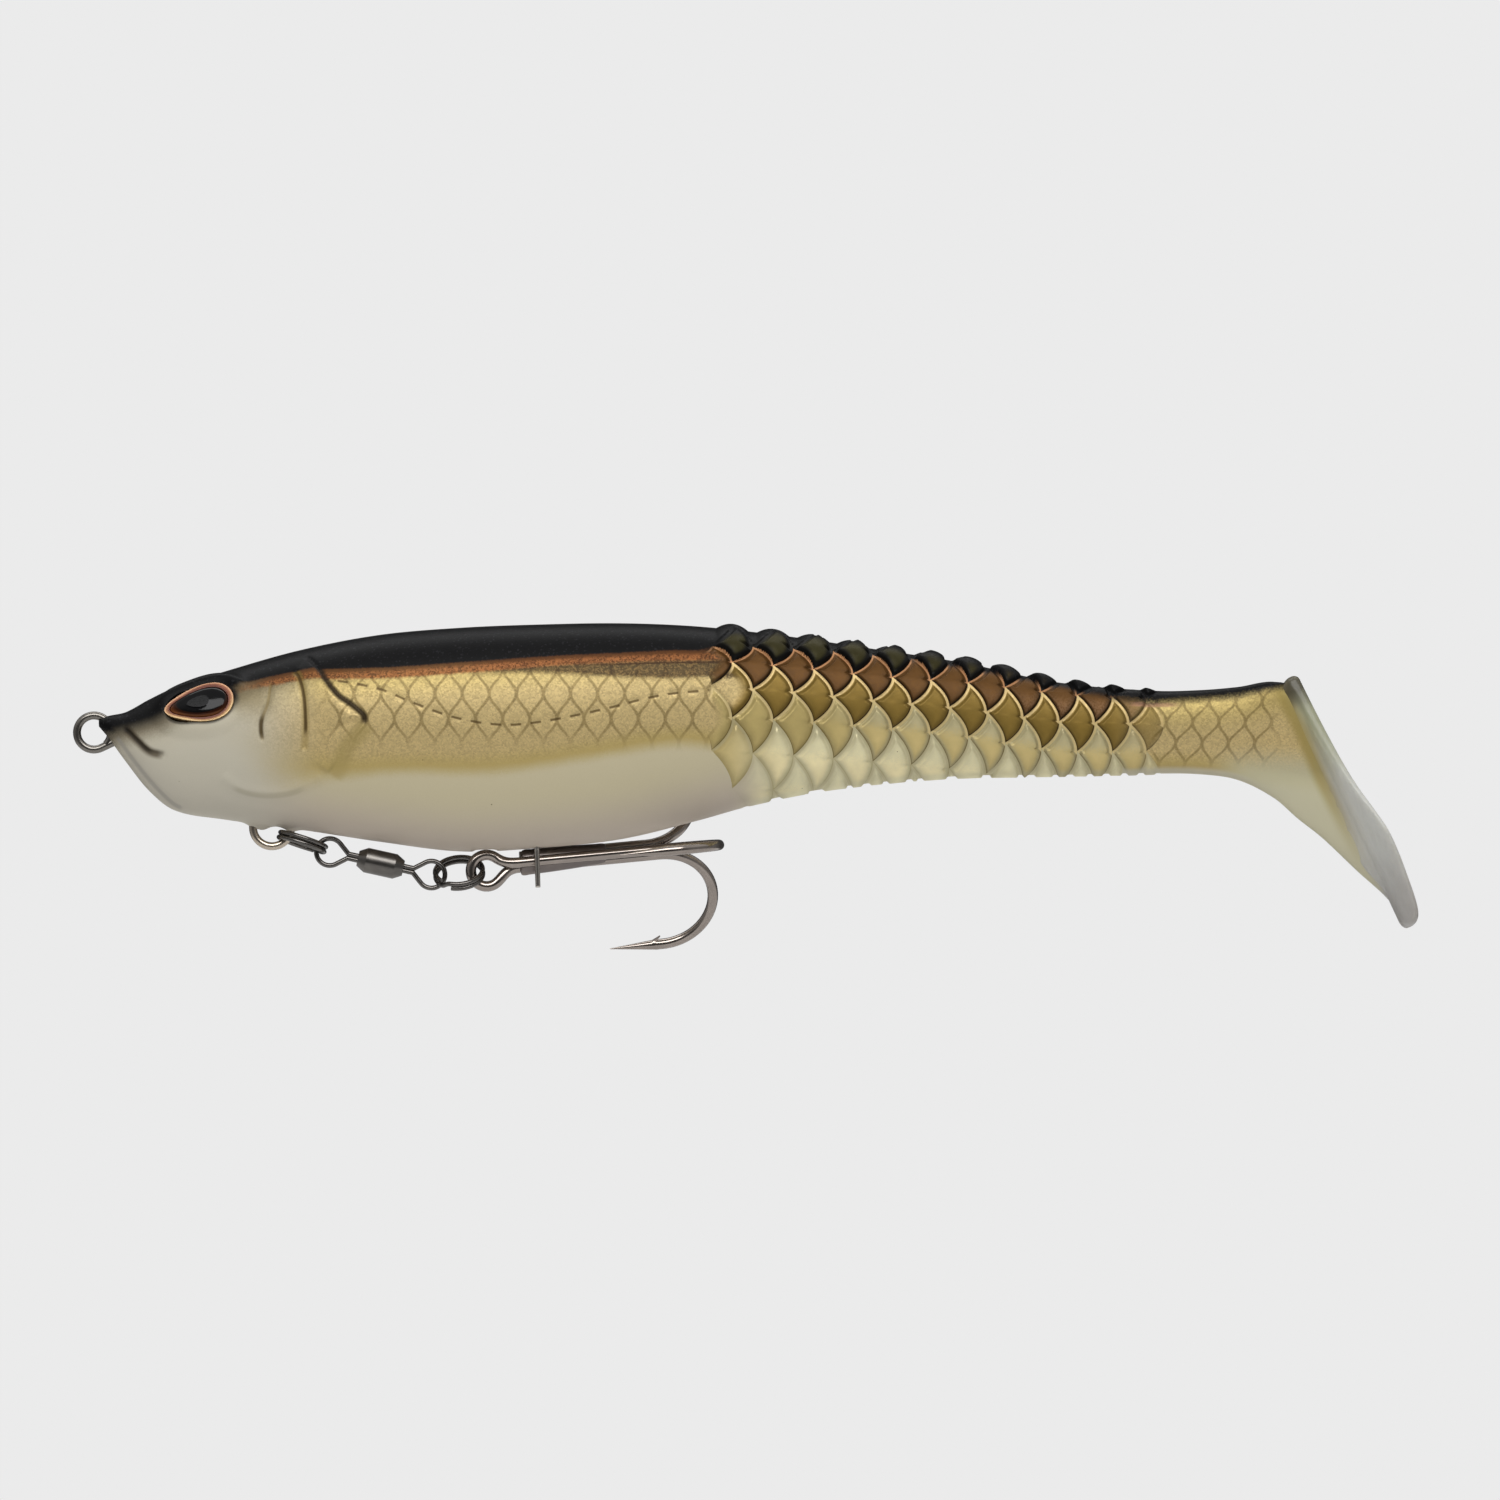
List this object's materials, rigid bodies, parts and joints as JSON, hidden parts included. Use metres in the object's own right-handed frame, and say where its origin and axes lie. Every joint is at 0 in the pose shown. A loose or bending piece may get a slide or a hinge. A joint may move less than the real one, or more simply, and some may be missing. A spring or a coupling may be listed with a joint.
{
  "type": "swimbait",
  "caption": "Soft-bodied paddle-tail swimbait with a through-wire harness and a treble hook on split rings and a barrel swivel.",
  "frame": {"origin": "centre of the line tie's ring at the nose", "axes": "+X from the nose to the tail, +Z to the back, -Y is the lure's left side"},
  "size_m": [0.2089, 0.028, 0.051],
  "materials": {
    "soft_front": "soft plastic, painted black to gold to pearl, satin",
    "soft_scaled": "soft plastic with moulded scales, painted, satin",
    "soft_tail": "translucent pearl soft plastic, satin",
    "harness_steel": "drawn stainless wire",
    "lead": "cast lead, dull",
    "eye_rim": "copper foil rim",
    "eye_lens": "clear dome over a black pupil and copper iris",
    "black_nickel_ring": "black nickel, satin",
    "black_nickel_barrel": "black nickel, satin",
    "black_nickel_wire": "black nickel wire",
    "braze": "braze under black nickel",
    "hook_steel": "black nickel hook wire, bright highlights",
    "pin_steel": "bare steel wire"
  },
  "bodies": {
    "head": {"body_front": "soft_front", "harness_wire": "harness_steel", "keel_weight": "lead", "eye_left_rim": "eye_rim", "eye_left_lens": "eye_lens", "eye_right_rim": "eye_rim", "eye_right_lens": "eye_lens"},
    "mid": {"body_mid": "soft_scaled"},
    "rear": {"body_rear": "soft_scaled"},
    "stem": {"tail_stem": "soft_tail"},
    "paddle": {"tail_paddle": "soft_tail"},
    "ring_front": {"split_ring_front": "black_nickel_ring"},
    "swivel_front": {"swivel_front_eye": "black_nickel_wire"},
    "barrel": {"swivel_barrel": "black_nickel_barrel"},
    "swivel_rear": {"swivel_rear_eye": "black_nickel_wire"},
    "ring_rear": {"split_ring_rear": "black_nickel_ring"},
    "treble": {"treble_double_hook": "hook_steel", "treble_single_hook": "hook_steel", "treble_braze": "braze", "belly_pin": "pin_steel"}
  },
  "joints": [
    {"name": "body_flex", "type": "hinge", "parent": "head", "child": "mid", "pos_m": [0.1, 0, 0], "axis": [0, 0, 1], "range_deg": [-15, 15], "stiffness_Nm_per_rad": 0.05},
    {"name": "rear_flex", "type": "hinge", "parent": "mid", "child": "rear", "pos_m": [0.124, 0, 0], "axis": [0, 0, 1], "range_deg": [-15, 15], "stiffness_Nm_per_rad": 0.02},
    {"name": "tail_flex", "type": "hinge", "parent": "rear", "child": "stem", "pos_m": [0.148, 0, 0], "axis": [0, 0, 1], "range_deg": [-15, 15], "stiffness_Nm_per_rad": 0.006},
    {"name": "paddle_kick", "type": "hinge", "parent": "stem", "child": "paddle", "pos_m": [0.172, 0, 0], "axis": [0, 0, 1], "range_deg": [-25, 25], "stiffness_Nm_per_rad": 0.002},
    {"name": "front_ring_swing", "type": "hinge", "parent": "head", "child": "ring_front", "pos_m": [0.0277, 0, -0.01474], "axis": [0, 1, 0], "range_deg": [0, 55]},
    {"name": "swivel_swing", "type": "hinge", "parent": "ring_front", "child": "swivel_front", "pos_m": [0.03669, 0, -0.0186], "axis": [0, 1, 0], "range_deg": [0, 35]},
    {"name": "barrel_spin", "type": "hinge", "parent": "swivel_front", "child": "barrel", "pos_m": [0.0446, 0, -0.02035], "axis": [0.9763, 0, -0.2164], "continuous": true},
    {"name": "swivel_turn", "type": "hinge", "parent": "swivel_front", "child": "swivel_rear", "pos_m": [0.0446, 0, -0.02035], "axis": [0.9763, 0, -0.2164], "range_deg": [-5, 0]},
    {"name": "rear_ring_swing", "type": "hinge", "parent": "swivel_rear", "child": "ring_rear", "pos_m": [0.05251, 0, -0.0221], "axis": [0, 1, 0], "range_deg": [0, 35]},
    {"name": "treble_swing", "type": "hinge", "parent": "ring_rear", "child": "treble", "pos_m": [0.06107, 0.00031, -0.0215], "axis": [-0.1219, 0.9925, 0], "range_deg": [0, 40]}
  ]
}
